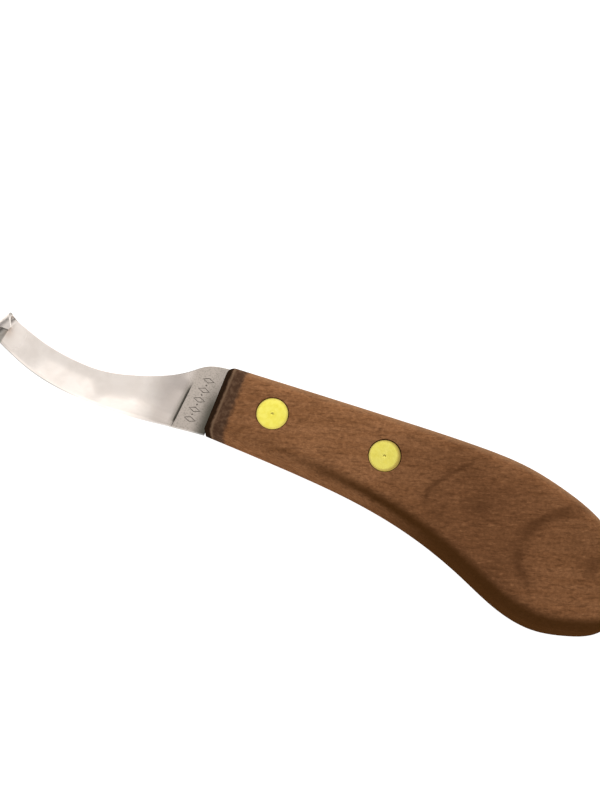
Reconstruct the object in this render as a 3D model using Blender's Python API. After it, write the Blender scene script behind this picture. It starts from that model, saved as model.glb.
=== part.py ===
"""Farrier's hoof knife: a hooked steel blade held by two cutlery rivets in a one-piece walnut handle.

All sizes below are in millimetres and are scaled to metres when a mesh is made. X runs along the row of
rivets, from the blade towards the butt, and is 0 on the front rivet. Y runs across the blade, from its
cutting edge to its spine, and is 0 on the rivets. Z runs through the knife, away from the flat side that it
lies on.
"""

import math

import bmesh
import bpy
import numpy as np
from mathutils import Vector

MM = 0.001
GAP = 0.3  # clearance between pieces that touch on the real knife
CUT_PAST = 2.0  # how far a cutter reaches past the surface that it opens
CURVE_SAMPLES = 4000  # points read from a long curve before its sections are picked

# Handle
HANDLE_THICK = 19.0
HANDLE_ROUND = 5.0  # radius along both edges of both flat sides, and round the front end
HANDLE_FRONT = -17.5
SPINE_CORNER = 2.4  # radius of the front end's upright corner at the spine
EDGE_CORNER = 0.5  # and of the one at the cutting edge
CORNER_STEPS = 5
OUTLINE_POINTS = 150
ROUND_STEPS = 5

# Blade and tang
BLADE_MID = HANDLE_THICK / 2
RICASSO_THICK = 2.2
GROUND_THICK = 1.8  # just past the shoulder where the grinding stops
TIP_THICK = 1.1
SHOULDER_AT = 8.25  # distance from the handle to the grinding shoulder
SHOULDER_RUN = 0.5
BLADE_SECTIONS = 36
EDGE_BREAK = 0.15  # small chamfer on the blade's unsharpened corners
BEVEL_WIDE = 0.8  # the sharpened bevel, on the face that the hook curls over
BEVEL_DEEP = 0.55
BOW_AT = 13.25  # distance from the handle to where the blade starts to curve towards the hook's side
BOW_RADIUS = 330.0
TANG_THICK = 2.0
TANG_END = 62.0
TANG_HALF_FRONT = 8.0
TANG_HALF_BACK = 6.0
TANG_MIDDLE = -0.4  # the tang's centre line in Y
TANG_NECK = 0.05  # length of the slope between the ricasso's full width and the tang
TANG_ROUND = np.radians([10, 35, 60, 90])  # where the rounded end of the tang has its sections
SLOT_SPARE = 1.5  # how far the slot runs on past the tang
SLOT_CORNER = 3.0
SLOT_CORNER_STEPS = 3

# Hook
HOOK_HEADING = math.radians(151)
HOOK_INNER = 2.3
HOOK_END_PITCH = math.radians(172)
HOOK_LIP = 1.8  # the straight tip of the tongue, past the bend
HOOK_STEPS = 16
LIP_STEPS = 3
SPINE_SIDE_FROM = math.radians(95)  # where each side of the tongue starts to run in to the tip
EDGE_SIDE_FROM = math.radians(60)
SPINE_SIDE_TIP = 1.1  # distance of each side from the middle, at the tip
EDGE_SIDE_TIP = 0.1

# Rivets
RIVETS = {"front": 0.0, "rear": 35.0}
HEAD_RADIUS = 4.76
HEAD_THICK = 1.35
HEAD_SUNK = 0.1  # how far each head lies below the wood
HEAD_BREAK = 0.2
SLEEVE_RADIUS = 2.5
POST_RADIUS = 1.9
POST_END = 4.0  # height at which the solid post stops inside the tube
DIMPLE_RADIUS = 0.5
DIMPLE_DEEP = 0.25
ROUND_SIDES = 40

# The handle's long edge in plan, from the front end's upper corner round the butt to its lower corner
HANDLE_OUTLINE = [
    (-19.0, 9.65), (8.0, 11.15), (34.0, 12.5), (60.0, 13.45), (75.0, 12.85), (87.9, 10.1),
    (99.3, 5.8), (109.6, -2.6), (114.8, -14.5), (110.9, -24.1), (102.8, -28.2), (92.4, -30.2),
    (82.2, -28.7), (68.1, -23.1), (52.1, -17.5), (34.0, -13.75), (10.0, -11.65), (-19.0, -10.5),
]

# The blade's two long edges in plan, from the handle to where the hook starts
SPINE = [
    (-17.85, 9.95), (-22.0, 9.2), (-25.1, 7.8), (-28.0, 5.5), (-34.2, 1.7), (-44.2, -2.15),
    (-53.0, -4.15), (-62.0, -4.2), (-71.0, -2.95), (-81.6, 0.2),
]
CUTTING_EDGE = [
    (-17.85, -11.3), (-28.0, -12.45), (-38.0, -13.7), (-50.0, -14.4), (-62.0, -13.95),
    (-73.0, -11.95), (-84.9, -7.4),
]


def clear_scene():
    for obj in list(bpy.data.objects):
        bpy.data.objects.remove(obj, do_unlink=True)


def make_material(name, color, metallic, roughness):
    material = bpy.data.materials.new(name)
    material.use_nodes = True
    shader = material.node_tree.nodes["Principled BSDF"]
    shader.inputs["Base Color"].default_value = (*color, 1.0)
    shader.inputs["Metallic"].default_value = metallic
    shader.inputs["Roughness"].default_value = roughness
    return material


def make_object(name, bm, material, smooth_angle=30.0):
    """An object from a bmesh in millimetres, which is freed."""
    bmesh.ops.recalc_face_normals(bm, faces=bm.faces[:])
    bmesh.ops.scale(bm, vec=Vector((MM, MM, MM)), verts=bm.verts[:])
    mesh = bpy.data.meshes.new(name)
    bm.to_mesh(mesh)
    bm.free()
    mesh.shade_smooth()
    mesh.set_sharp_from_angle(angle=math.radians(smooth_angle))
    obj = bpy.data.objects.new(name, mesh)
    bpy.context.scene.collection.objects.link(obj)
    if material:
        mesh.materials.append(material)
    return obj


def make_cutter(name, bm):
    cutter = make_object(name, bm, None)
    cutter.hide_render = True
    cutter.display_type = "WIRE"
    return cutter


def cut(obj, cutter):
    modifier = obj.modifiers.new(cutter.name, "BOOLEAN")
    modifier.operation = "DIFFERENCE"
    modifier.solver = "EXACT"
    modifier.object = cutter


def smooth_curve(points, count):
    """count points along the cubic spline through the given points, with no bend at its two ends."""
    points = np.array(points, float)
    knots = np.concatenate([[0.0], np.cumsum(np.linalg.norm(np.diff(points, axis=0), axis=1))])
    gaps = np.diff(knots)
    matrix = np.eye(len(points))
    slopes = np.diff(points, axis=0) / gaps[:, None]
    right = np.zeros_like(points)
    for i in range(1, len(points) - 1):
        matrix[i, i - 1 : i + 2] = gaps[i - 1], 2 * (gaps[i - 1] + gaps[i]), gaps[i]
        right[i] = 6 * (slopes[i] - slopes[i - 1])
    bend = np.linalg.solve(matrix, right)
    at = np.linspace(0.0, knots[-1], count)
    i = np.clip(np.searchsorted(knots, at, side="right") - 1, 0, len(gaps) - 1)
    gap = gaps[i][:, None]
    after = (at - knots[i])[:, None]
    before = gap - after
    return (
        (bend[i] * before**3 + bend[i + 1] * after**3) / (6 * gap)
        + (points[i] / gap - bend[i] * gap / 6) * before
        + (points[i + 1] / gap - bend[i + 1] * gap / 6) * after
    )


def unit(vectors):
    return vectors / np.linalg.norm(vectors, axis=-1, keepdims=True)


def skin_rings(rings):
    """A closed bmesh over rings of points that all have the same number of points."""
    bm = bmesh.new()
    loops = [[bm.verts.new(point) for point in ring] for ring in rings]
    for near, far in zip(loops, loops[1:]):
        for i in range(len(near)):
            j = (i + 1) % len(near)
            bm.faces.new((near[i], near[j], far[j], far[i]))
    bm.faces.new(loops[0][::-1])
    bm.faces.new(loops[-1])
    return bm


def handle_ring(inset, z):
    """The handle's outline moved in by inset, with the upright corners of its front end rounded off."""
    long_edge = smooth_curve(HANDLE_OUTLINE, CURVE_SAMPLES)
    along = unit(np.gradient(long_edge, axis=0))
    moved = long_edge + inset * np.column_stack([along[:, 1], -along[:, 0]])
    front = HANDLE_FRONT + inset
    first = int(np.flatnonzero(moved[:, 0] > front + SPINE_CORNER)[0])
    last = int(np.flatnonzero(moved[:, 0] > front + EDGE_CORNER)[-1])
    picked = np.linspace(first, last, OUTLINE_POINTS).round().astype(int)
    points = [tuple(point) for point in moved[picked]]
    turns = np.linspace(0.0, math.pi / 2, CORNER_STEPS, endpoint=False)
    corner = [(1 - math.cos(turn), 1 - math.sin(turn)) for turn in turns]
    upper = [(front + SPINE_CORNER * x, points[0][1] - SPINE_CORNER * y) for x, y in corner]
    lower = [(front + EDGE_CORNER * x, points[-1][1] + EDGE_CORNER * y) for x, y in reversed(corner)]
    return [(x, y, z) for x, y in upper + points + lower]


def make_handle(material, cutters):
    turns = np.linspace(0.0, math.pi / 2, ROUND_STEPS + 1)
    levels = [(HANDLE_ROUND * (1 - math.sin(a)), HANDLE_ROUND * (1 - math.cos(a))) for a in turns]
    levels += [(inset, HANDLE_THICK - z) for inset, z in reversed(levels)]
    handle = make_object("handle", skin_rings([handle_ring(inset, z) for inset, z in levels]), material)
    for cutter in cutters:
        cut(handle, cutter)
    return handle


def make_slot_cutter():
    """The pocket for the tang, open at the handle's front end only, with a rounded far end."""
    half = TANG_HALF_FRONT + GAP
    start = HANDLE_FRONT - CUT_PAST
    middle = TANG_END + SLOT_SPARE - SLOT_CORNER
    outline = [(start, TANG_MIDDLE + half), (start, TANG_MIDDLE - half)]
    turns = np.linspace(0.0, math.pi / 2, SLOT_CORNER_STEPS + 1)
    for side, corner in ((-1, turns), (1, turns[::-1])):
        for turn in corner:
            out = half - SLOT_CORNER * (1 - math.cos(turn))
            outline.append((middle + SLOT_CORNER * math.sin(turn), TANG_MIDDLE + side * out))
    rise = TANG_THICK / 2 + GAP
    rings = [[(x, y, BLADE_MID + side * rise) for x, y in outline] for side in (-1, 1)]
    return make_cutter("slot_cutter", skin_rings(rings))


def turned(profile, x, sides=ROUND_SIDES):
    """A bmesh made by turning a closed (radius, z) profile about the upright line at x."""
    bm = bmesh.new()
    verts = [bm.verts.new((radius, 0.0, z)) for radius, z in profile]
    edges = [bm.edges.new(pair) for pair in zip(verts, verts[1:])]
    bmesh.ops.spin(
        bm, geom=verts + edges, axis=(0, 0, 1), cent=(0, 0, 0), angle=2 * math.pi, steps=sides
    )
    bmesh.ops.remove_doubles(bm, verts=bm.verts[:], dist=1e-4)
    bmesh.ops.translate(bm, vec=(x, 0.0, 0.0), verts=bm.verts[:])
    return bm


def make_rivet_hole(name, x):
    """The stepped hole through wood and tang: a counterbore for the head at each side."""
    head = HEAD_RADIUS + GAP
    bore = SLEEVE_RADIUS + GAP
    deep = HEAD_SUNK + HEAD_THICK + GAP
    profile = [
        (0.0, HANDLE_THICK + CUT_PAST),
        (head, HANDLE_THICK + CUT_PAST),
        (head, HANDLE_THICK - deep),
        (bore, HANDLE_THICK - deep),
        (bore, deep),
        (head, deep),
        (head, -CUT_PAST),
        (0.0, -CUT_PAST),
    ]
    return make_cutter(f"{name}_rivet_cutter", turned(profile, x))


def make_rivet(name, x, material):
    """The two halves of a cutlery rivet: a head on a solid post, driven into a head on a tube."""
    top = HANDLE_THICK - HEAD_SUNK
    under = top - HEAD_THICK
    post = [
        (0.0, top - DIMPLE_DEEP),
        (DIMPLE_RADIUS, top),
        (HEAD_RADIUS - HEAD_BREAK, top),
        (HEAD_RADIUS, top - HEAD_BREAK),
        (HEAD_RADIUS, under),
        (POST_RADIUS, under),
        (POST_RADIUS, POST_END + HEAD_BREAK),
        (POST_RADIUS - HEAD_BREAK, POST_END),
        (0.0, POST_END),
    ]
    base = HEAD_SUNK
    shoulder = base + HEAD_THICK
    rim = under - GAP
    bore = POST_RADIUS + GAP
    sleeve = [
        (0.0, POST_END - GAP),
        (bore, POST_END - GAP),
        (bore, rim),
        (SLEEVE_RADIUS, rim),
        (SLEEVE_RADIUS, shoulder),
        (HEAD_RADIUS, shoulder),
        (HEAD_RADIUS, base + HEAD_BREAK),
        (HEAD_RADIUS - HEAD_BREAK, base),
        (0.0, base),
    ]
    make_object(f"{name}_rivet_post", turned(post, x), material)
    make_object(f"{name}_rivet_sleeve", turned(sleeve, x), material)


def section(middle, across, up, half, thick, bevel):
    """One eight-cornered cross-section of the blade, bevelled at the cutting edge by bevel, from 0 to 1."""
    wide = EDGE_BREAK + bevel * (BEVEL_WIDE - EDGE_BREAK)
    deep = EDGE_BREAK + bevel * (BEVEL_DEEP - EDGE_BREAK)
    top = thick / 2
    corners = [
        (half, -top + EDGE_BREAK),
        (half, top - EDGE_BREAK),
        (half - EDGE_BREAK, top),
        (-half + wide, top),
        (-half, top - deep),
        (-half, -top + EDGE_BREAK),
        (-half + EDGE_BREAK, -top),
        (half - EDGE_BREAK, -top),
    ]
    return [tuple(middle + side * across + height * up) for side, height in corners]


def tang_sections():
    """From the rounded far end of the tang to the front end of the handle."""
    across = np.array([0.0, 1.0, 0.0])
    up = np.array([0.0, 0.0, 1.0])
    sections = []
    for turn in TANG_ROUND:
        x = TANG_END - TANG_HALF_BACK * (1 - math.cos(turn))
        middle = np.array([x, TANG_MIDDLE, BLADE_MID])
        sections.append(section(middle, across, up, TANG_HALF_BACK * math.sin(turn), TANG_THICK, 0.0))
    neck = np.array([SPINE[0][0] + TANG_NECK, TANG_MIDDLE, BLADE_MID])
    sections.append(section(neck, across, up, TANG_HALF_FRONT, TANG_THICK, 0.0))
    return sections


def blade_sections():
    """From the ricasso's shoulder along the swept and bowed blade to where the hook starts."""
    spine = smooth_curve(SPINE, CURVE_SAMPLES)
    edge = smooth_curve(CUTTING_EDGE, CURVE_SAMPLES)
    middle = (spine + edge) / 2
    run = np.concatenate([[0.0], np.cumsum(np.linalg.norm(np.diff(middle, axis=0), axis=1))])
    shoulder = [SHOULDER_AT, SHOULDER_AT + SHOULDER_RUN]
    stations = sorted(set(np.linspace(0.0, run[-1], BLADE_SECTIONS)) | set(shoulder))
    thick_at = [0.0, *shoulder, run[-1]]
    thick = np.interp(stations, thick_at, [RICASSO_THICK, RICASSO_THICK, GROUND_THICK, TIP_THICK])
    bevel = np.interp(stations, thick_at, [0.0, 0.0, 1.0, 1.0])
    sections = []
    for station, thickness, sharpened in zip(stations, thick, bevel):
        i = int(np.searchsorted(run, station).clip(0, CURVE_SAMPLES - 1))
        width = spine[i] - edge[i]
        bow = max(0.0, station - BOW_AT)
        slope = bow / BOW_RADIUS
        across = np.array([*unit(width), 0.0])
        along = np.array([-across[1], across[0], 0.0])
        up = np.array([0.0, 0.0, 1.0]) * math.cos(slope) - along * math.sin(slope)
        centre = np.array([*middle[i], BLADE_MID + bow**2 / (2 * BOW_RADIUS)])
        sections.append(section(centre, across, up, np.linalg.norm(width) / 2, thickness, sharpened))
    return sections, centre, slope, np.linalg.norm(width) / 2


def hook_sections(start, start_pitch, half):
    """The tongue-shaped end of the blade, curled over towards the handle and ending in a straight lip."""
    along = np.array([math.cos(HOOK_HEADING), math.sin(HOOK_HEADING), 0.0])
    across = np.array([along[1], -along[0], 0.0])
    up = np.array([0.0, 0.0, 1.0])
    radius = HOOK_INNER + TIP_THICK / 2
    stops = [(pitch, 0.0) for pitch in np.linspace(start_pitch, HOOK_END_PITCH, HOOK_STEPS + 1)[1:]]
    stops += [(HOOK_END_PITCH, lip) for lip in np.linspace(0.0, HOOK_LIP, LIP_STEPS + 1)[1:]]
    length = radius * HOOK_END_PITCH + HOOK_LIP
    sections = []
    for pitch, lip in stops:
        middle = (
            start
            + along * (radius * (math.sin(pitch) - math.sin(start_pitch)) + lip * math.cos(pitch))
            + up * (radius * (math.cos(start_pitch) - math.cos(pitch)) + lip * math.sin(pitch))
        )
        normal = up * math.cos(pitch) - along * math.sin(pitch)
        run = radius * pitch + lip
        spine = np.interp(run, [radius * SPINE_SIDE_FROM, length], [half, SPINE_SIDE_TIP])
        edge = np.interp(run, [radius * EDGE_SIDE_FROM, length], [half, EDGE_SIDE_TIP])
        middle = middle + across * (spine - edge) / 2
        sections.append(section(middle, across, normal, (spine + edge) / 2, TIP_THICK, 0.0))
    return sections


def make_blade(material, cutters):
    blade, tip, slope, half = blade_sections()
    rings = tang_sections() + blade + hook_sections(tip, slope, half)
    obj = make_object("blade", skin_rings(rings), material)
    for cutter in cutters:
        cut(obj, cutter)
    return obj


def stand_on_origin():
    """Hangs every piece on an empty that puts the origin under the middle of the knife's box."""
    pieces = [obj for obj in bpy.data.objects if obj.type == "MESH"]
    shown = [obj for obj in pieces if not obj.hide_render]
    corners = np.array([vert.co for obj in shown for vert in obj.data.vertices])
    middle = (corners.min(axis=0) + corners.max(axis=0)) / 2
    origin = bpy.data.objects.new("knife_origin", None)
    bpy.context.scene.collection.objects.link(origin)
    origin.location = (-middle[0], -middle[1], 0.0)
    for obj in pieces:
        obj.parent = origin


def main():
    clear_scene()
    walnut = make_material("walnut", (0.22, 0.105, 0.043), 0.0, 0.55)
    steel = make_material("polished_steel", (0.72, 0.70, 0.68), 1.0, 0.22)
    brass = make_material("brass", (0.85, 0.66, 0.20), 1.0, 0.3)
    holes = [make_rivet_hole(name, x) for name, x in RIVETS.items()]
    make_handle(walnut, [make_slot_cutter(), *holes])
    make_blade(steel, holes)
    for name, x in RIVETS.items():
        make_rivet(name, x, brass)
    stand_on_origin()


main()
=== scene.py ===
"""Studio view of a farrier's hoof knife, with fine meshes and procedural walnut, steel and brass.

Shapes are worked out in the knife's own design frame, in millimetres: X runs along the row of rivets from the
blade towards the butt and is 0 on the front rivet, Y runs from the cutting edge to the spine, and Z runs up
from the flat side that the knife lies on. place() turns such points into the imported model's frame.
"""

import math

import bmesh
import bpy
import numpy as np
from mathutils import Matrix, Vector


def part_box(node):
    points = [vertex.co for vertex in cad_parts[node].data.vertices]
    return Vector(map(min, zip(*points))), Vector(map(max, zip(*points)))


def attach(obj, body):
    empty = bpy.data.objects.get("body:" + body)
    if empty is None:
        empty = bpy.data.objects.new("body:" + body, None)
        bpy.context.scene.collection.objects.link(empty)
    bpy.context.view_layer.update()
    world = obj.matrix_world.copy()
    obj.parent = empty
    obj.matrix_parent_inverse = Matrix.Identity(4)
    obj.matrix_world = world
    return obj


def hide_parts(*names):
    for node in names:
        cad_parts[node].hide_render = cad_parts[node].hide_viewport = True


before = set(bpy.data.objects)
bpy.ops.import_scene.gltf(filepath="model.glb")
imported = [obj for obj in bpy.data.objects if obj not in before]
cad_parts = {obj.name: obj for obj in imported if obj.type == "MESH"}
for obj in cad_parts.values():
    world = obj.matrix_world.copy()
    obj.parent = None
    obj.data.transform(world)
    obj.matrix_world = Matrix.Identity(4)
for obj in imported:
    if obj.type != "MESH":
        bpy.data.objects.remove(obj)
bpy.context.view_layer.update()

MM = 0.001
FRONT_RIVET_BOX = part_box("front_rivet_post")
ORIGIN = Vector((*((FRONT_RIVET_BOX[0] + FRONT_RIVET_BOX[1]) / 2).xy, 0.0))

# Handle
HANDLE_THICK = 19.0
HANDLE_ROUND = 5.0
HANDLE_FRONT = -17.5
SPINE_CORNER = 2.4  # radii of the front end's two upright corners
EDGE_CORNER = 0.25
CORNER_STEPS = 10
FRONT_STEEP = 1.9  # depth of the steep part of the front end's bevel, back to its ridge
FRONT_BEVEL = 5.2  # depth of the whole bevel, back to the flat
RIDGE_DROP = 1.35  # height of the flat over the ridge
STEEP_PART = 0.98  # how much of a quarter ellipse the steep part's profile takes in
OUTLINE_SAMPLES = 9000  # points worked out along the outline, from which each ring picks its own
OUTLINE_POINTS = 520
ROUND_STEPS = 14
FLAT_RING = 0.4  # one more ring lies on each flat face, this far inside the roundover

# Blade
BLADE_MID = HANDLE_THICK / 2
RICASSO_THICK = 2.2
GROUND_THICK = 1.7
TIP_THICK = 1.1
EDGE_ROUND = 0.18
BEVEL_WIDE = 0.8
BEVEL_DEEP = 0.17
EDGE_SLANT = 0.12  # how far the wall under the bevel leans in at its top
BEVEL_FROM = (-30.0, -36.0)  # the bevel grows from nothing between these two places in X
BOW_AT = 13.45  # where the blade starts to bow upward, along its middle line from the wood
BOW_RADIUS = 330.0
TAPER_FROM = 10.0  # where the blade starts to thin towards its tip, along its middle line
HOLLOW = math.radians(1.4)  # how much the upper face leans inward at each edge
HOLLOW_GROWS = (9.0, 16.0)  # along the middle line
HOLLOW_FADES = 9.0  # the last stretch before the tip
BLADE_SAMPLES = 4000
ACROSS_POINTS = 26
BLADE_SMOOTH_ANGLE = 10.0  # in degrees, so that the bevel's edge stays sharp
FINE_SPAN = (5.5, 12.5)  # the shoulder's part of the middle line, where cross-sections lie close together
STATION_STEPS = (0.5, 0.12, 0.55)  # between cross-sections before, in and after that part
SHOULDER_X = -26.85  # the grinding shoulder is a straight line through this place
SHOULDER_Y = -4.4
SHOULDER_SLANT = 0.07  # how far it goes along X for each millimetre along Y
SHOULDER_RUN = 0.5
SCORE_AT = 0.15  # the scored line's middle, past the shoulder
SCORE_HALF = 0.38
SCORE_FLAT = 0.1  # half the width of its bottom
SCORE_DEEP = 0.09
SHARP_FADES = (3.0, -1.5)  # places in Y between which the shoulder turns from a soft slope into a sharp step
EDGE_FADES = (-12.0, -9.0)  # and between which it softens again at the cutting edge, to EDGE_SHARP
EDGE_SHARP = 0.45
SLOPE_SPAN = (-3.0, 7.0)  # where the soft slope starts and ends, past the shoulder

# Hand polishing left two places on the blade that lean to the spine: a long one towards the tip, which gets
# steeper on the way there, and a short one in front of the shoulder. Each grows and fades between two places
# in X, and runs out between two places across the blade, where -1 is the cutting edge and 1 the spine.
LONG_LEAN = math.radians(3.1)
LONG_GROWS = (-50.2, -55.8)
LONG_FADES = (-79.0, -66.0)
LONG_SLANT = 1.5
LONG_STEEPER = 0.4
LONG_STEEPENS = (-58.0, -69.0)
LONG_ACROSS = (0.2, 0.8)
SHORT_LEAN = math.radians(1.9)
SHORT_GROWS = (-29.0, -41.0)
SHORT_FADES = (-52.0, -47.0)
SHORT_ACROSS = (-0.5, 0.0)

# Tang
TANG_THICK = 2.0
TANG_END = 62.0
TANG_HALF_FRONT = 8.0
TANG_HALF_BACK = 6.0
TANG_MIDDLE = -0.4
TANG_NECK = 0.01  # the step in X where the tang meets the wider ricasso
TANG_END_TURNS = (10, 22, 35, 48, 60, 75, 90)  # degrees round the tang's end where cross-sections lie
TANG_GAP = 0.3
SLOT_PAST = 1.5  # how far the slot runs on past the tang
SLOT_CORNER = 3.0

# Hook
HOOK_HEADING = math.radians(151)
TIP_AT = (-83.25, -3.6, 0.0)  # the middle of the blade where the hook starts
HOOK_INNER = 2.3
HOOK_END_PITCH = math.radians(172)
HOOK_LIP = 1.8
HOOK_STEPS = 60
LIP_STEPS = 8
SPINE_SIDE_FROM = math.radians(95)  # how far round the curl each side of the tongue starts to come in
EDGE_SIDE_FROM = math.radians(60)
SPINE_SIDE_TIP = 1.1  # what is left of each side's half width at the lip
EDGE_SIDE_TIP = 0.1

# Rivets
RIVETS = {"front": 0.0, "rear": 35.0}
# how strong each head's painted shade crescent and its tarnish are
SHADE_AND_TARNISH = {"front": 0.10, "rear": 0.95}
HEAD_RADIUS = 4.76
HEAD_THICK = 1.35
HEAD_SUNK = 0.1
HEAD_DOME = 0.10
HEAD_EDGE = 0.22  # the rolled edge's radius
HEAD_PIP = ((0.0, 0.22), (0.12, 0.20), (0.30, 0.06), (0.42, 0.0))  # the centre pip's (radius, depth)
SLEEVE_RADIUS = 2.5
POST_RADIUS = 1.9
POST_END = 4.0
POST_CHAMFER = 0.2
RIM_GAP = 0.11  # the dark ring round each rivet head
RIM_BREAK = 0.1
TURNED_SIDES = 96

# The ricasso's plain border of lozenges and dots
MARK_ROW = (-22.6, -8.5, 4.4)  # the row's place in X, and its two ends in Y
MARK_COUNT = 5
MARK_HALF = (1.9, 0.85)  # half a lozenge, along X and along Y
DOT_HALF = (0.35, 0.28)
MARK_LINE = 0.24
MARK_DEEP = 0.14

# Outlines as (X, Y) places, which smooth curves run through
HANDLE_OUTLINE = [
    (-19.0, 9.65), (8.0, 11.15), (34.0, 12.5), (60.0, 13.45), (75.0, 12.85), (87.9, 10.1),
    (99.3, 5.8), (109.6, -2.6), (114.8, -14.5), (110.9, -24.1), (102.8, -28.2), (92.4, -30.2),
    (82.2, -28.7), (68.1, -23.1), (52.1, -17.5), (34.0, -13.75), (10.0, -11.65), (-19.0, -10.5),
]
SPINE = [
    (-17.53, 9.95), (-22.0, 9.2), (-25.1, 7.8), (-28.0, 5.5), (-34.2, 1.7), (-44.2, -2.15),
    (-53.0, -4.15), (-62.0, -4.2), (-71.0, -2.95), (-81.6, 0.2),
]
CUTTING_EDGE = [
    (-17.53, -11.3), (-28.0, -12.45), (-38.0, -13.7), (-50.0, -14.4), (-62.0, -13.95),
    (-73.0, -11.95), (-84.9, -7.4),
]


# Small helpers for shapes

def smooth_curve(points, count):
    """count points along the cubic spline through the given points, with no bend at its two ends."""
    points = np.array(points, float)
    knots = np.concatenate([[0.0], np.cumsum(np.linalg.norm(np.diff(points, axis=0), axis=1))])
    gaps = np.diff(knots)
    matrix = np.eye(len(points))
    slopes = np.diff(points, axis=0) / gaps[:, None]
    right = np.zeros_like(points)
    for i in range(1, len(points) - 1):
        matrix[i, i - 1 : i + 2] = gaps[i - 1], 2 * (gaps[i - 1] + gaps[i]), gaps[i]
        right[i] = 6 * (slopes[i] - slopes[i - 1])
    bend = np.linalg.solve(matrix, right)
    at = np.linspace(0.0, knots[-1], count)
    i = np.clip(np.searchsorted(knots, at, side="right") - 1, 0, len(gaps) - 1)
    gap = gaps[i][:, None]
    after = (at - knots[i])[:, None]
    before = gap - after
    return (
        (bend[i] * before**3 + bend[i + 1] * after**3) / (6 * gap)
        + (points[i] / gap - bend[i] * gap / 6) * before
        + (points[i + 1] / gap - bend[i + 1] * gap / 6) * after
    )


def unit(vectors):
    return vectors / np.linalg.norm(vectors, axis=-1, keepdims=True)


def smoothstep(value, low, high):
    """0 below low, 1 above high, and smooth between them. low may be the larger one."""
    t = np.clip((value - low) / (high - low), 0.0, 1.0)
    return t * t * (3 - 2 * t)


def skin_rings(rings):
    """A closed bmesh over rings of points that all have the same number of points."""
    bm = bmesh.new()
    loops = [[bm.verts.new(point) for point in ring] for ring in rings]
    for near, far in zip(loops, loops[1:]):
        for i in range(len(near)):
            j = (i + 1) % len(near)
            bm.faces.new((near[i], near[j], far[j], far[i]))
    bm.faces.new(loops[0][::-1])
    bm.faces.new(loops[-1])
    return bm


def turned(profile, x, sides):
    """A bmesh made by turning a (radius, z) profile about the upright line at x, where it starts and ends."""
    bm = bmesh.new()
    verts = [bm.verts.new((radius, 0.0, z)) for radius, z in profile]
    edges = [bm.edges.new(pair) for pair in zip(verts, verts[1:])]
    bmesh.ops.spin(
        bm, geom=verts + edges, axis=(0, 0, 1), cent=(0, 0, 0), angle=2 * math.pi, steps=sides
    )
    bmesh.ops.remove_doubles(bm, verts=bm.verts[:], dist=1e-4)
    bmesh.ops.translate(bm, vec=(x, 0.0, 0.0), verts=bm.verts[:])
    return bm


def place(name, bm, material=None):
    """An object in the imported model's frame, from a bmesh in the design frame, which is freed."""
    bmesh.ops.recalc_face_normals(bm, faces=bm.faces[:])
    bmesh.ops.transform(bm, matrix=Matrix.Translation(ORIGIN) @ Matrix.Scale(MM, 4), verts=bm.verts[:])
    mesh = bpy.data.meshes.new(name)
    bm.to_mesh(mesh)
    bm.free()
    if material:
        mesh.materials.append(material)
    obj = bpy.data.objects.new(name, mesh)
    bpy.context.scene.collection.objects.link(obj)
    return obj


def carve(obj, cutters, smooth_angle=30.0):
    """Cuts the cutters out of obj for good, removes them, and shades the result smooth between its edges."""
    for cutter in cutters:
        modifier = obj.modifiers.new(cutter.name, "BOOLEAN")
        modifier.operation = "DIFFERENCE"
        modifier.solver = "EXACT"
        modifier.material_mode = "TRANSFER"
        modifier.object = cutter
    graph = bpy.context.evaluated_depsgraph_get()
    carved = bpy.data.meshes.new_from_object(obj.evaluated_get(graph), depsgraph=graph)
    obj.modifiers.clear()
    obj.data = carved
    for cutter in cutters:
        bpy.data.objects.remove(cutter, do_unlink=True)
    shade(obj, smooth_angle)


def shade(obj, smooth_angle=30.0):
    obj.data.shade_smooth()
    obj.data.set_sharp_from_angle(angle=math.radians(smooth_angle))


def stand_for(obj, node):
    """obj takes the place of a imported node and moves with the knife's one body."""
    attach(obj, "root")
    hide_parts(node)


# Materials

class Graph:
    """Adds nodes to a shader tree. What feeds a socket is another socket or a constant."""

    def __init__(self, tree):
        self.tree = tree

    def feed(self, socket, value):
        if isinstance(value, bpy.types.NodeSocket):
            self.tree.links.new(value, socket)
        else:
            socket.default_value = value

    def node(self, kind, *values, operation=None):
        """A new node whose first sockets are fed values, where None leaves a socket alone."""
        node = self.tree.nodes.new(f"ShaderNode{kind}")
        if operation:
            node.operation = operation
        for socket, value in zip(node.inputs, values):
            if value is not None:
                self.feed(socket, value)
        return node

    def split(self, vector):
        return self.node("SeparateXYZ", vector).outputs

    def math(self, operation, first, second=None, third=None):
        return self.node("Math", first, second, third, operation=operation).outputs[0]

    def plus(self, first, second):
        return self.math("ADD", first, second)

    def minus(self, first, second):
        return self.math("SUBTRACT", first, second)

    def times(self, first, *others):
        for other in others:
            first = self.math("MULTIPLY", first, other)
        return first

    def off(self, value, middle):
        """How far value is from middle, either way."""
        return self.math("ABSOLUTE", self.minus(value, middle))

    def hypot(self, first, second):
        squares = self.plus(self.math("POWER", first, 2.0), self.math("POWER", second, 2.0))
        return self.math("SQRT", squares)

    def ramp(self, value, low, high, to_low=0.0, to_high=1.0):
        """value turned smoothly from low..high to to_low..to_high. low may be the larger one."""
        node = self.node("MapRange", value, low, high, to_low, to_high)
        node.interpolation_type = "SMOOTHSTEP"
        return node.outputs["Result"]


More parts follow.
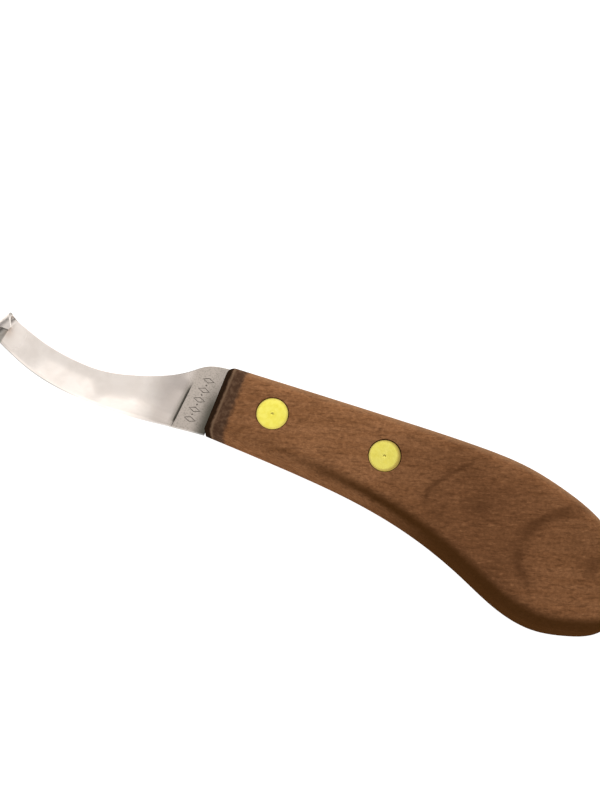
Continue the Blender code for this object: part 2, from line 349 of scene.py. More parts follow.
class Surface(Graph):
    """Builds one node material, in the design frame's millimetres."""

    def __init__(self, name):
        self.material = bpy.data.materials.new(name)
        self.material.use_nodes = True
        super().__init__(self.material.node_tree)
        self.shader = self.tree.nodes["Principled BSDF"]
        coords = self.node("TexCoord").outputs
        moved = self.vector("SUBTRACT", coords["Object"], tuple(ORIGIN))
        self.at = self.vector("SCALE", moved, scale=1 / MM)
        self.x, self.y, self.z = self.split(self.at)
        self.facing = coords["Normal"]  # which way the surface faces

    def vector(self, operation, first, second=None, scale=None):
        return self.node("VectorMath", first, second, None, scale, operation=operation).outputs["Vector"]

    def length(self, vector):
        return self.node("VectorMath", vector, operation="LENGTH").outputs["Value"]

    def dot(self, first, second):
        return self.node("VectorMath", first, second, operation="DOT_PRODUCT").outputs["Value"]

    def turned_at(self, degrees, stretch):
        """The place, turned about Z and multiplied by stretch, for streaks along that direction."""
        node = self.node("Mapping", self.at)
        node.vector_type = "TEXTURE"
        node.inputs["Rotation"].default_value = (0.0, 0.0, math.radians(degrees))
        return self.vector("MULTIPLY", node.outputs["Vector"], stretch)

    def noise(self, at, scale, detail=3.0, roughness=0.55, distortion=0.0):
        node = self.node("TexNoise", at)
        node.inputs["Scale"].default_value = scale
        node.inputs["Detail"].default_value = detail
        node.inputs["Roughness"].default_value = roughness
        node.inputs["Distortion"].default_value = distortion
        return node.outputs["Fac"]

    def mix(self, factor, first, second):
        node = self.node("Mix")
        node.data_type = "RGBA"
        self.feed(node.inputs["Factor"], factor)
        for socket, color in ((node.inputs["A"], first), (node.inputs["B"], second)):
            self.feed(socket, color if isinstance(color, bpy.types.NodeSocket) else (*color, 1.0))
        return node.outputs["Result"]

    def layered(self, color, layers):
        """color under layers of (cover, tint), lowest first. A cover of 1 hides what is under it."""
        for cover, tint in layers:
            color = self.mix(cover, color, tint)
        return color

    def bump(self, height, distance, strength):
        """distance is the height of the relief in millimetres."""
        node = self.node("Bump")
        node.inputs["Strength"].default_value = strength
        node.inputs["Distance"].default_value = distance * MM
        self.feed(node.inputs["Height"], height)
        self.feed(self.shader.inputs["Normal"], node.outputs["Normal"])

    def set(self, **values):
        """Feeds the shader's sockets, whose names have underscores here."""
        for name, value in values.items():
            self.feed(self.shader.inputs[name.replace("_", " ")], value)


WALNUT_LIGHT = (0.430, 0.196, 0.086)
WALNUT_MID = (0.350, 0.152, 0.062)
WALNUT_DARK = (0.082, 0.032, 0.012)
WALNUT_PALM = (0.195, 0.081, 0.034)
# painted shade for the lower roundover
WALNUT_UNDER_SHADE = (0.070, 0.026, 0.006)
# a painted sheen for the upper roundover
WALNUT_PAINTED_SHEEN = (0.420, 0.250, 0.140)
END_GRAIN = (0.082, 0.043, 0.026)
END_GRAIN_LIGHT = (0.150, 0.086, 0.052)
# a painted highlight on the front end's ridge, and painted shade in its crevice at the blade
RIDGE_PAINTED_HIGHLIGHT = (0.215, 0.135, 0.082)
CREVICE_PAINTED_SHADE = (0.012, 0.008, 0.005)
STAINED = 1.2  # how far the dark end band runs on past the bevel
RAGGED_RIDGE = 0.6  # how much the ridge and the end band wander along X
RAGGED_BAND = 1.6
GRAIN_TURN = 18.0  # the grain runs this many degrees off the row of rivets

# The figure is nested arcs about a middle beyond the butt. Each has a reach from that middle, a half width, a
# depth, and its two ends in Y, where it fades.
RING_MIDDLE = (128.0, -10.0)
RING_FLAT = 2.2
RING_LEAN = 0.5
RINGS = (
    (87.5, 1.7, 0.60, -10.0, 6.0),
    (56.2, 4.4, 0.62, -21.0, 7.0),
    (34.5, 3.6, 0.60, -13.0, -4.0),
)
RING_WANDER = ((0.045, 1.0, 9.0), (0.30, 2.0, 3.6))  # scale, detail and spread of what makes the arcs wander
RING_FADE_PAST = 2.0
RING_FADE_BEFORE = 3.0
PATCH_AT = (65.0, -4.5, 0.0)
PATCH_SHRINK = (0.17, 0.19, 0.0)  # one over the soft patch's half lengths
PATCH_DEPTH = 0.55


def walnut_figure(n):
    """The palm's nested arcs and one soft dark patch: 0 between them and up to 1 on them."""
    across = n.times(n.minus(n.y, RING_MIDDLE[1]), RING_FLAT)
    along = n.minus(n.minus(n.x, RING_MIDDLE[0]), n.times(n.z, RING_LEAN))
    reach = n.hypot(along, across)
    for scale, detail, spread in RING_WANDER:
        wander = n.math("MULTIPLY_ADD", n.noise(n.at, scale, detail), spread, -spread / 2)
        reach = n.plus(reach, wander)
    fade = n.ramp(n.noise(n.at, 0.16, 2.0), 0.30, 0.55, 0.45, 1.0)
    figure = 0.0
    for arc_reach, half_width, depth, low, high in RINGS:
        arc = n.ramp(n.off(reach, arc_reach), 0.0, half_width, depth, 0.0)
        low_end = n.ramp(n.y, low - RING_FADE_PAST, low + RING_FADE_BEFORE)
        high_end = n.ramp(n.y, high + RING_FADE_BEFORE, high - RING_FADE_PAST)
        figure = n.math("MAXIMUM", n.times(arc, n.times(low_end, high_end), fade), figure)
    from_patch = n.length(n.vector("MULTIPLY", n.vector("SUBTRACT", n.at, PATCH_AT), PATCH_SHRINK))
    patch = n.ramp(from_patch, 0.0, 1.0, PATCH_DEPTH, 0.0)
    return n.math("MAXIMUM", figure, n.times(patch, fade))


def walnut_front(n, color):
    """The bevelled front end: painted black shade in the crevice at the blade, a painted highlight on the
    ridge, and a band of dark end grain.
    """
    mottle = n.noise(n.at, 0.75, 3.0, 0.6)
    behind = n.minus(n.math("MULTIPLY_ADD", mottle, RAGGED_RIDGE, n.x), HANDLE_FRONT + RAGGED_RIDGE / 2)
    end_grain = n.mix(n.ramp(mottle, 0.42, 0.66), END_GRAIN, END_GRAIN_LIGHT)
    # The ridge gets a painted highlight, and the crevice at the blade painted black shade.
    band = n.layered(end_grain, (
        (n.ramp(n.off(behind, FRONT_STEEP + 0.45), 0.0, 0.60, 0.95, 0.0), RIDGE_PAINTED_HIGHLIGHT),
        (n.ramp(behind, FRONT_STEEP + 0.15, FRONT_STEEP - 0.4), CREVICE_PAINTED_SHADE),
    ))
    past_band = n.minus(behind, RAGGED_BAND / 2 + FRONT_BEVEL + STAINED)
    ragged = n.math("MULTIPLY_ADD", mottle, RAGGED_BAND, past_band)
    return n.mix(n.ramp(ragged, 0.7, -1.1, 0.0, 0.94), color, band)


def walnut_painted_under_shade(n, facing_y):
    """Painted shade on the lower roundover, which faces down and away from the light: stronger towards the
    butt and weaker on the front's upright wall.
    """
    stripe = n.times(n.ramp(facing_y, -0.12, -0.62), n.ramp(n.x, -2.0, 38.0, 0.06, 0.90))
    wall = n.times(n.ramp(facing_y, -0.66, -0.96, 0.0, 0.75), n.ramp(n.x, 62.0, 30.0))
    return n.times(stripe, n.minus(1.0, wall))


def make_walnut():
    n = Surface("walnut_grain")
    bands = n.noise(n.turned_at(GRAIN_TURN, (0.055, 0.42, 0.35)), 1.0, 4.0, 0.6, 0.3)
    flecks = n.noise(n.turned_at(GRAIN_TURN, (0.30, 1.25, 1.0)), 1.0, 4.0, 0.62, 0.5)
    fine = n.noise(n.turned_at(GRAIN_TURN - 3, (0.75, 3.6, 2.6)), 1.0, 3.0, 0.65, 0.2)
    pores = n.noise(n.turned_at(GRAIN_TURN, (0.55, 6.0, 4.0)), 1.0, 2.0, 0.5)
    patches = n.noise(n.at, 0.085, 3.0, 0.5)
    mottle = n.noise(n.at, 0.95, 2.0, 0.6)
    facing_y = n.split(n.facing)[1]

    palm = n.minus(n.ramp(n.x, 22.0, 66.0, 0.0, 0.80), n.ramp(n.x, 72.0, 100.0, 0.0, 0.40))
    pore = n.ramp(pores, 0.60, 0.70, 0.0, 0.48)
    color = n.layered(n.mix(n.ramp(bands, 0.34, 0.66), WALNUT_MID, WALNUT_LIGHT), (
        (n.times(palm, n.ramp(n.y, 1.0, 11.0, 1.0, 0.5)), WALNUT_PALM),
        (n.ramp(patches, 0.42, 0.72, 0.0, 0.26), WALNUT_DARK),
        (n.ramp(flecks, 0.50, 0.68, 0.0, 0.46), WALNUT_DARK),
        (n.ramp(flecks, 0.46, 0.30, 0.0, 0.50), WALNUT_LIGHT),
        (n.ramp(fine, 0.50, 0.72, 0.0, 0.45), WALNUT_DARK),
        (n.ramp(mottle, 0.40, 0.64, 0.28, 0.0), WALNUT_DARK),
        (walnut_figure(n), WALNUT_DARK),
        (pore, WALNUT_DARK),
        # painted shade on the lower roundover, which faces away from the light
        (walnut_painted_under_shade(n, facing_y), WALNUT_UNDER_SHADE),
        # a painted sheen on the upper roundover, which faces the light
        (n.ramp(facing_y, 0.40, 0.92, 0.0, 0.42), WALNUT_PAINTED_SHEEN),
    ))
    roughness = n.ramp(bands, 0.3, 0.7, 0.56, 0.44)
    n.set(Base_Color=walnut_front(n, color), Roughness=roughness, Specular_IOR_Level=0.0)
    n.bump(n.minus(n.times(fine, 0.5), pore), 0.035, 0.6)
    return n.material


STEEL_POLISHED = ((0.835, 0.748, 0.680), (0.880, 0.798, 0.732))
STEEL_RICASSO = (0.490, 0.425, 0.370)
# painted shade for steel whose reflection is to look dimmer
STEEL_PAINTED_SHADE = (0.300, 0.255, 0.225)
# grime on the unpolished ricasso, and painted shade on the steel
STEEL_GRIME_AND_SHADE = (0.085, 0.078, 0.060)
ENGRAVED = ((0.10, 0.088, 0.076), (0.24, 0.21, 0.18))
# painted shade on the bevel grows towards the tip between these two places in X
NEAR_TIP = (-53.0, -66.0)  # the bevel darkens towards the tip between these two places in X

BRASS = ((0.870, 0.765, 0.105), (0.920, 0.825, 0.148))
# painted shade round each rivet head's rolled rim
BRASS_PAINTED_RIM_SHADE = (0.66, 0.52, 0.13)
# painted shade for the crescent on each head's butt side
BRASS_PAINTED_CRESCENT_SHADE = (0.42, 0.28, 0.04)
BRASS_DULLED = (0.50, 0.40, 0.14)
BRASS_PIP = (0.40, 0.30, 0.05)
CRESCENT_OFF = 0.42  # how far the crescent's clean middle lies towards the blade
TURNING_MARKS = 38.0  # radians of the marks' wave for each millimetre outward


def make_steel():
    n = Surface("polished_steel")
    lines = n.noise(n.turned_at(0, (0.08, 9.0, 9.0)), 1.0, 3.0, 0.6)
    cloud = n.noise(n.at, 0.22, 3.0, 0.5)
    speckle = n.noise(n.at, 2.2, 3.0, 0.6)
    shoulder = n.math("MULTIPLY_ADD", n.y, SHOULDER_SLANT, SHOULDER_X - SHOULDER_SLANT * SHOULDER_Y)
    past = n.minus(shoulder, n.x)
    unpolished = n.ramp(past, 2.2, -0.8)
    speckles = n.times(unpolished, n.ramp(speckle, 0.45, 0.70, 0.0, 0.35))
    # painted shadow of the handle on the ricasso, just in front of the wood
    painted_shadow_by_the_wood = n.times(n.ramp(n.x, -22.6, -18.0, 0.0, 0.95), n.ramp(n.y, 6.5, -4.0, 0.15, 1.0))
    # painted shade on the bevel towards the tip
    bevel_painted_shade = n.times(on_bevel(n), n.ramp(n.x, *NEAR_TIP, 0.0, 0.28))
    color = n.layered(n.mix(n.ramp(cloud, 0.35, 0.65), *STEEL_POLISHED), (
        # painted shade on the blade towards the shoulder
        (n.ramp(past, 15.0, 4.0, 0.0, 0.66), STEEL_PAINTED_SHADE),
        (n.times(unpolished, 0.95), STEEL_RICASSO),
        (speckles, STEEL_GRIME_AND_SHADE),
        (in_score(n, past), STEEL_GRIME_AND_SHADE),
        (painted_shadow_by_the_wood, STEEL_GRIME_AND_SHADE),
        (bevel_painted_shade, STEEL_PAINTED_SHADE),
        # painted shade in the hook's hollow and on the walls near the tip
        (n.math("MAXIMUM", painted_curl_shade(n), painted_wall_shade(n)), STEEL_GRIME_AND_SHADE),
    ))
    from_tip = n.length(n.vector("MULTIPLY", n.vector("SUBTRACT", n.at, TIP_AT), (1.0, 1.0, 0.0)))
    roughness = n.plus(n.ramp(lines, 0.3, 0.7, 0.13, 0.19), n.times(unpolished, 0.20))
    roughness = n.plus(roughness, n.ramp(from_tip, 9.0, 2.5, 0.0, 0.22))
    n.set(Base_Color=color, Metallic=1.0, Roughness=roughness)
    n.bump(lines, 0.0012, 0.2)
    return n.material


def in_score(n, past):
    """Darkening in the scored line and just past it, where past is how far a place lies past the shoulder."""
    ends = n.times(n.ramp(n.y, 2.5, -1.0), n.ramp(n.y, -11.6, -10.2))
    line = n.ramp(n.off(past, SCORE_AT), 0.15, 0.62, 0.88, 0.0)
    halo = n.times(n.ramp(past, 0.0, 0.2), n.ramp(past, 2.0, 0.2, 0.0, 0.45))
    return n.times(n.math("MAXIMUM", line, halo), ends)


def on_bevel(n):
    """1 on the bevel, which leans towards the cutting edge, and 0 on the rest of the upper face."""
    return n.ramp(n.dot(n.facing, (-0.40, -0.92, 0.0)), 0.12, 0.17)


def painted_curl_shade(n):
    """0 to 0.6 in the part of the hook's hollow towards the cutting edge: painted shade under the tongue."""
    heading = (math.cos(HOOK_HEADING), math.sin(HOOK_HEADING))
    past_tip = n.vector("SUBTRACT", n.at, TIP_AT)
    along = n.dot(past_tip, (*heading, 0.0))
    beside = n.dot(past_tip, (heading[1], -heading[0], 0.0))
    curl_from = n.math("MULTIPLY_ADD", beside, 0.355, -0.23)  # the hollow starts on a slanted line
    inner = n.ramp(n.dot(n.facing, (*heading, 0.0)), 0.06, 0.0)
    upward = n.ramp(n.split(n.facing)[2], 0.10, 0.30)
    past_curl = n.ramp(n.minus(along, curl_from), -0.2, 0.3)
    return n.times(inner, upward, n.ramp(beside, 1.4, 0.6, 0.0, 0.6), past_curl)


def painted_wall_shade(n):
    """Painted shade, up to 0.9 on the wall under the cutting edge near the tip, and 0.65 on the tongue's
    spine-side wall.
    """
    facing_y = n.split(n.facing)[1]
    wall = n.times(n.ramp(facing_y, -0.55, -0.80), n.ramp(n.x, -53.0, -69.0, 0.0, 0.90))
    tongue = n.times(n.ramp(n.z, 16.2, 16.8, 0.0, 0.65), n.ramp(facing_y, 0.50, 0.70))
    return n.math("MAXIMUM", wall, tongue)


def make_engraving():
    n = Surface("dulled_steel")
    color = n.mix(n.ramp(n.noise(n.at, 3.0, 3.0), 0.35, 0.65), *ENGRAVED)
    n.set(Base_Color=color, Metallic=1.0, Roughness=0.55)
    return n.material


def make_brass(x, shade_and_tarnish):
    """Brass with turning marks round the rivet at x, painted shade round its rim and in a crescent on its
    butt side, and tarnish.
    """
    n = Surface("turned_brass")
    out = n.hypot(n.minus(n.x, x), n.y)
    crescent = n.hypot(n.minus(n.x, x - CRESCENT_OFF), n.y)
    blotch = n.noise(n.at, 0.7, 3.0)
    color = n.layered(n.mix(n.ramp(blotch, 0.35, 0.65), *BRASS), (
        # painted shade round the rolled rim
        (n.ramp(out, HEAD_RADIUS - 0.9, HEAD_RADIUS - 0.1, 0.0, 0.75), BRASS_PAINTED_RIM_SHADE),
        # a crescent of painted shade on the butt side, then tarnish over the whole head
        (n.ramp(crescent, 3.75, 4.7, 0.0, shade_and_tarnish), BRASS_PAINTED_CRESCENT_SHADE),
        (0.34 * shade_and_tarnish, BRASS_DULLED),
        (n.ramp(out, 0.55, 0.15, 0.0, 0.6), BRASS_PIP),
    ))
    n.set(Base_Color=color, Metallic=1.0, Roughness=n.ramp(blotch, 0.3, 0.7, 0.36, 0.28))
    wobble = n.math("MULTIPLY_ADD", blotch, 0.25, out)
    n.bump(n.math("SINE", n.times(wobble, TURNING_MARKS)), 0.004, 0.6)
    return n.material


# Pieces

def front_inset(z):
    """How far the front end stands back at height z: upright, then a steep part, a ridge and a bevel."""
    up = abs(z - HANDLE_THICK / 2)
    flat_from = HANDLE_THICK / 2 - HANDLE_ROUND
    ridge_at = HANDLE_THICK / 2 - RIDGE_DROP
    if up <= flat_from:
        return 0.0
    if up <= ridge_at:
        t = (up - flat_from) / (ridge_at - flat_from)
        return FRONT_STEEP * (1 - math.sqrt(1 - t * t * STEEP_PART))
    t = (up - ridge_at) / RIDGE_DROP
    return FRONT_STEEP + (FRONT_BEVEL - FRONT_STEEP) * t


def handle_ring(long_edge, inset, back, z):
    """The handle's outline at height z, moved in by inset, with its front end standing back by back."""
    along = unit(np.gradient(long_edge, axis=0))
    moved = long_edge + inset * np.column_stack([along[:, 1], -along[:, 0]])
    front = HANDLE_FRONT + back
    first = int(np.flatnonzero(moved[:, 0] > front + SPINE_CORNER)[0])
    last = int(np.flatnonzero(moved[:, 0] > front + EDGE_CORNER)[-1])
    picked = np.linspace(first, last, OUTLINE_POINTS).round().astype(int)
    points = [tuple(point) for point in moved[picked]]
    turns = np.linspace(0.0, math.pi / 2, CORNER_STEPS, endpoint=False)
    corner = [(1 - math.cos(turn), 1 - math.sin(turn)) for turn in turns]
    upper = [(front + SPINE_CORNER * x, points[0][1] - SPINE_CORNER * y) for x, y in corner]
    lower = [(front + EDGE_CORNER * x, points[-1][1] + EDGE_CORNER * y) for x, y in reversed(corner)]
    return [(x, y, z) for x, y in upper + points + lower]


def make_handle():
    long_edge = smooth_curve(HANDLE_OUTLINE, OUTLINE_SAMPLES)
    turns = np.linspace(0.0, math.pi / 2, ROUND_STEPS + 1)
    levels = [(HANDLE_ROUND * (1 - math.sin(a)), HANDLE_ROUND * (1 - math.cos(a))) for a in turns]
    levels.insert(0, (HANDLE_ROUND + FLAT_RING, 0.0))
    levels += [(inset, HANDLE_THICK - z) for inset, z in reversed(levels)]
    rings = []
    for inset, z in levels:
        extra = max(0.0, inset - HANDLE_ROUND)
        rings.append(handle_ring(long_edge, inset, front_inset(z) + extra, z))
    handle = place("walnut_handle", skin_rings(rings), make_walnut())
    carve(handle, [slot_cutter(), *[rivet_cutter(name, x) for name, x in RIVETS.items()]])
    stand_for(handle, "handle")


def slot_cutter():
    """The tang's slot, open at the front and rounded at its inner end."""
    half = TANG_HALF_FRONT + TANG_GAP
    mouth = HANDLE_FRONT - 2.0
    corner_from = TANG_END + SLOT_PAST - SLOT_CORNER
    outline = [(mouth, TANG_MIDDLE + half), (mouth, TANG_MIDDLE - half)]
    turns = np.linspace(0.0, math.pi / 2, 9)
    for side, corner in ((-1, turns), (1, turns[::-1])):
        for turn in corner:
            out = half - SLOT_CORNER * (1 - math.cos(turn))
            outline.append((corner_from + SLOT_CORNER * math.sin(turn), TANG_MIDDLE + side * out))
    rise = TANG_THICK / 2 + TANG_GAP
    rings = [[(x, y, BLADE_MID + side * rise) for x, y in outline] for side in (-1, 1)]
    return place("slot_cutter", skin_rings(rings))


def rivet_cutter(name, x):
    """The stepped hole through the wood, with its rim broken a little."""
    head = HEAD_RADIUS + RIM_GAP
    bore = SLEEVE_RADIUS + TANG_GAP
    deep = HEAD_SUNK + HEAD_THICK + TANG_GAP
    over = 1.0
    profile = [
        (0.0, -over), (head + RIM_BREAK + over, -over), (head + RIM_BREAK, 0.0), (head, RIM_BREAK),
        (head, deep), (bore, deep),
    ]
    profile += [(radius, HANDLE_THICK - z) for radius, z in reversed(profile)]
    return place(f"{name}_rivet_cutter", turned(profile[::-1], x, TURNED_SIDES))


def head_profile():
    """A cutlery rivet's head from its middle to its back corner, as (radius, depth below the wood)."""
    profile = [(radius, HEAD_SUNK + deep) for radius, deep in HEAD_PIP]
    for radius in np.linspace(0.8, HEAD_RADIUS - 0.3, 10):
        profile.append((radius, HEAD_SUNK + HEAD_DOME * (radius / HEAD_RADIUS) ** 4))
    for turn in np.linspace(0.0, math.pi / 2, 6):
        inset = HEAD_EDGE * (1 - math.sin(turn))
        deep = HEAD_SUNK + HEAD_DOME + HEAD_EDGE * (1 - math.cos(turn))
        profile.append((HEAD_RADIUS - inset, deep))
    profile.append((HEAD_RADIUS, HEAD_SUNK + HEAD_THICK))
    return profile


def make_rivet(name, x):
    """The two halves: a solid post under the upper head, driven into the tube under the lower one."""
    head = head_profile()
    under = HANDLE_THICK - HEAD_SUNK - HEAD_THICK
    post = [(radius, HANDLE_THICK - z) for radius, z in head]
    post += [(POST_RADIUS, under), (POST_RADIUS, POST_END + POST_CHAMFER)]
    post += [(POST_RADIUS - POST_CHAMFER, POST_END), (0.0, POST_END)]
    bore = POST_RADIUS + TANG_GAP
    rim = under - TANG_GAP
    sleeve = head + [(SLEEVE_RADIUS, HEAD_SUNK + HEAD_THICK), (SLEEVE_RADIUS, rim), (bore, rim)]
    sleeve += [(bore, POST_END - TANG_GAP), (0.0, POST_END - TANG_GAP)]
    material = make_brass(x, SHADE_AND_TARNISH[name])
    for half, profile in (("post", post), ("sleeve", sleeve)):
        piece = place(f"brass_{name}_rivet_{half}", turned(profile, x, TURNED_SIDES), material)
        shade(piece)
        stand_for(piece, f"{name}_rivet_{half}")


def grind(x, y):
    """How far the ground face lies below the ricasso's at a place on the blade.

    The shoulder is a sharp, scored step on the cutting edge's side and fades into a soft slope at the spine.
    """
    past = SHOULDER_X + SHOULDER_SLANT * (y - SHOULDER_Y) - x
    strength = smoothstep(y, *SHARP_FADES) * (EDGE_SHARP + (1 - EDGE_SHARP) * smoothstep(y, *EDGE_FADES))
    full = (RICASSO_THICK - GROUND_THICK) / 2
    sharp = full * smoothstep(past, -SHOULDER_RUN / 2, SHOULDER_RUN / 2)
    soft = full * smoothstep(past, *SLOPE_SPAN)
    score = SCORE_DEEP * smoothstep(abs(past - SCORE_AT), SCORE_HALF, SCORE_FLAT)
    return strength * (sharp + score) + (1 - strength) * soft


def face_points(middle, across, up, half, thick, bevel, count):
    """One cross-section as a closed loop: the upper face, the cutting edge, the lower face and the spine.

    Each point comes with its place across the blade, from -1 at the cutting edge to 1 at the spine.
    """
    top = thick / 2
    wide = EDGE_ROUND + bevel * (BEVEL_WIDE - EDGE_ROUND)
    deep = wide * BEVEL_DEEP / BEVEL_WIDE
    slant = EDGE_SLANT * bevel
    corner = EDGE_ROUND * 0.3
    upper = [(t, top) for t in np.linspace(half - EDGE_ROUND, -half + wide, count)]
    cutting_edge = [
        (-half + (wide + slant) * 0.5, top - deep * 0.5),
        (-half + slant, top - deep),
        (-half, -top + EDGE_ROUND),
        (-half + corner, -top + corner),
    ]
    lower = [(t, -top) for t in np.linspace(-half + EDGE_ROUND, half - EDGE_ROUND, count)]
    spine = [
        (half - corner, -top + corner),
        (half, -top + EDGE_ROUND),
        (half, top - EDGE_ROUND),
        (half - corner, top - corner),
    ]
    loop = upper + cutting_edge + lower + spine
    return [(middle + t * across + z * up, t / half) for t, z in loop]


def lean(t, full_below, none_above):
    """What a lean adds up to at t across the blade, when it is 1 below full_below and 0 above none_above."""
    fade = none_above - full_below
    part = min(max((t - full_below) / fade, 0.0), 1.0)
    return min(t, full_below) + fade * (part - part * part / 2)


def polish_wave(x, t):
    """How far hand polishing took the upper face down at x and t across, as a part of the half width."""
    long = smoothstep(x + LONG_SLANT * t, *LONG_GROWS) * smoothstep(x, *LONG_FADES) * LONG_LEAN
    long *= 1 + LONG_STEEPER * smoothstep(x, *LONG_STEEPENS)
    short = smoothstep(x, *SHORT_FADES) * smoothstep(x, *SHORT_GROWS) * SHORT_LEAN
    return long * lean(t, *LONG_ACROSS) + short * lean(t, *SHORT_ACROSS)


def blade_rings():
    """Cross-sections from the wood to the tip, and the last one's centre, slope and half width."""
    spine = smooth_curve(SPINE, BLADE_SAMPLES)
    edge = smooth_curve(CUTTING_EDGE, BLADE_SAMPLES)
    middle = (spine + edge) / 2
    run = np.concatenate([[0.0], np.cumsum(np.linalg.norm(np.diff(middle, axis=0), axis=1))])
    stops = (0.0, *FINE_SPAN, run[-1])
    stretches = [np.arange(start, end, step) for start, end, step in zip(stops, stops[1:], STATION_STEPS)]
    rings = []
    for station in np.concatenate([*stretches, run[-1:]]):
        i = int(np.searchsorted(run, station).clip(0, BLADE_SAMPLES - 1))
        width = spine[i] - edge[i]
        bow = max(0.0, station - BOW_AT)
        slope = bow / BOW_RADIUS
        across = np.array([*unit(width), 0.0])
        along = np.array([-across[1], across[0], 0.0])
        up = np.array([0.0, 0.0, 1.0]) * math.cos(slope) - along * math.sin(slope)
        centre = np.array([*middle[i], BLADE_MID + bow**2 / (2 * BOW_RADIUS)])
        half = np.linalg.norm(width) / 2
        bevel = float(smoothstep(middle[i][0], *BEVEL_FROM))
        taper = smoothstep(station, TAPER_FROM, run[-1]) * (GROUND_THICK - TIP_THICK)
        hollow = HOLLOW * smoothstep(station, *HOLLOW_GROWS)
        hollow *= smoothstep(station, run[-1], run[-1] - HOLLOW_FADES)
        ring = []
        for point, t in face_points(centre, across, up, half, RICASSO_THICK, bevel, ACROSS_POINTS):
            above = float(np.sign(np.dot(point - centre, up)))
            cut = grind(point[0], point[1]) + taper / 2
            if above > 0:
                cut += half * (0.5 * hollow * (1 - t * t) + polish_wave(point[0], t))
            ring.append(tuple(point - above * cut * up))
        rings.append(ring)
    return rings, centre, slope, half


def tang_rings():
    """Cross-sections from the tang's rounded end to the ricasso."""
    across = np.array([0.0, 1.0, 0.0])
    up = np.array([0.0, 0.0, 1.0])
    rings = []
    for turn in np.radians(TANG_END_TURNS):
        x = TANG_END - TANG_HALF_BACK * (1 - math.cos(turn))
        middle = np.array([x, TANG_MIDDLE, BLADE_MID])
        rings.append((middle, TANG_HALF_BACK * math.sin(turn)))
    rings.append((np.array([SPINE[0][0] + TANG_NECK, TANG_MIDDLE, BLADE_MID]), TANG_HALF_FRONT))
    loops = []
    for middle, half in rings:
        loop = face_points(middle, across, up, half, TANG_THICK, 0.0, ACROSS_POINTS)
        loops.append([tuple(point) for point, _ in loop])
    return loops


def hook_rings(start, start_pitch, half):
    """The tongue-shaped end of the blade, curled over towards the handle and ending in a straight lip."""
    along = np.array([math.cos(HOOK_HEADING), math.sin(HOOK_HEADING), 0.0])
    across = np.array([along[1], -along[0], 0.0])
    up = np.array([0.0, 0.0, 1.0])
    radius = HOOK_INNER + TIP_THICK / 2
    stops = [(pitch, 0.0) for pitch in np.linspace(start_pitch, HOOK_END_PITCH, HOOK_STEPS + 1)[1:]]
    stops += [(HOOK_END_PITCH, lip) for lip in np.linspace(0.0, HOOK_LIP, LIP_STEPS + 1)[1:]]
    length = radius * HOOK_END_PITCH + HOOK_LIP
    rings = []
    for pitch, lip in stops:
        middle = (
            start
            + along * (radius * (math.sin(pitch) - math.sin(start_pitch)) + lip * math.cos(pitch))
            + up * (radius * (math.cos(start_pitch) - math.cos(pitch)) + lip * math.sin(pitch))
        )
        normal = up * math.cos(pitch) - along * math.sin(pitch)
        run = radius * pitch + lip
        spine = np.interp(run, [radius * SPINE_SIDE_FROM, length], [half, SPINE_SIDE_TIP])
        edge = np.interp(run, [radius * EDGE_SIDE_FROM, length], [half, EDGE_SIDE_TIP])
        middle = middle + across * (spine - edge) / 2
        bevel = 1.0 - 0.5 * float(smoothstep(run, radius * EDGE_SIDE_FROM, length))
        loop = face_points(middle, across, normal, (spine + edge) / 2, TIP_THICK, bevel, ACROSS_POINTS)
        rings.append([tuple(point) for point, _ in loop])
    return rings


def lozenge_cutter(name, x, y, half_x, half_y, hollow):
    """A lozenge or, where hollow, the outline of one, standing through the ricasso's upper face."""
    top = BLADE_MID + RICASSO_THICK / 2
    over = 0.5
    outer = [(half_x, 0.0), (0.0, half_y), (-half_x, 0.0), (0.0, -half_y)]
    if not hollow:
        rings = [[(x + a, y + b, top + z) for a, b in outer] for z in (-MARK_DEEP, over)]
        return place(name, skin_rings(rings), ENGRAVING)
    inner_x = half_x - MARK_LINE * 1.6  # more than along Y, because the sides slant
    inner_y = half_y - MARK_LINE
    inner = [(inner_x, 0.0), (0.0, inner_y), (-inner_x, 0.0), (0.0, -inner_y)]
    bm = bmesh.new()
    loops = []
    for corners, z in ((outer, -MARK_DEEP), (outer, over), (inner, over), (inner, -MARK_DEEP)):
        loops.append([bm.verts.new((x + a, y + b, top + z)) for a, b in corners])
    for near, far in zip(loops, loops[1:] + loops[:1]):
        for i in range(4):
            bm.faces.new((near[i], near[(i + 1) % 4], far[(i + 1) % 4], far[i]))
    return place(name, bm, ENGRAVING)


def mark_cutters():
    """A plain border of lozenges, with a dot between each two, across the ricasso."""
    x, low, high = MARK_ROW
    places = np.linspace(low, high, MARK_COUNT)
    between = (places[1:] + places[:-1]) / 2
    cutters = []
    for name, row, half, hollow in (("lozenge", places, MARK_HALF, True), ("dot", between, DOT_HALF, False)):
        for i, y in enumerate(row):
            slanted = x + SHOULDER_SLANT * (y - places.mean())
            cutters.append(lozenge_cutter(f"{name}_{i}", slanted, y, *half, hollow))
    return cutters


def tang_hole_cutter(name, x):
    bore = SLEEVE_RADIUS + TANG_GAP
    low = BLADE_MID - 3.0
    high = BLADE_MID + 3.0
    profile = [(0.0, high), (bore, high), (bore, low), (0.0, low)]
    return place(f"{name}_tang_cutter", turned(profile, x, 64))


def make_blade():
    blade, tip, slope, half = blade_rings()
    rings = tang_rings() + blade + hook_rings(tip, slope, half)
    obj = place("steel_blade", skin_rings(rings), STEEL)
    holes = [tang_hole_cutter(name, x) for name, x in RIVETS.items()]
    carve(obj, holes + mark_cutters(), smooth_angle=BLADE_SMOOTH_ANGLE)
    stand_for(obj, "blade")


# Stage

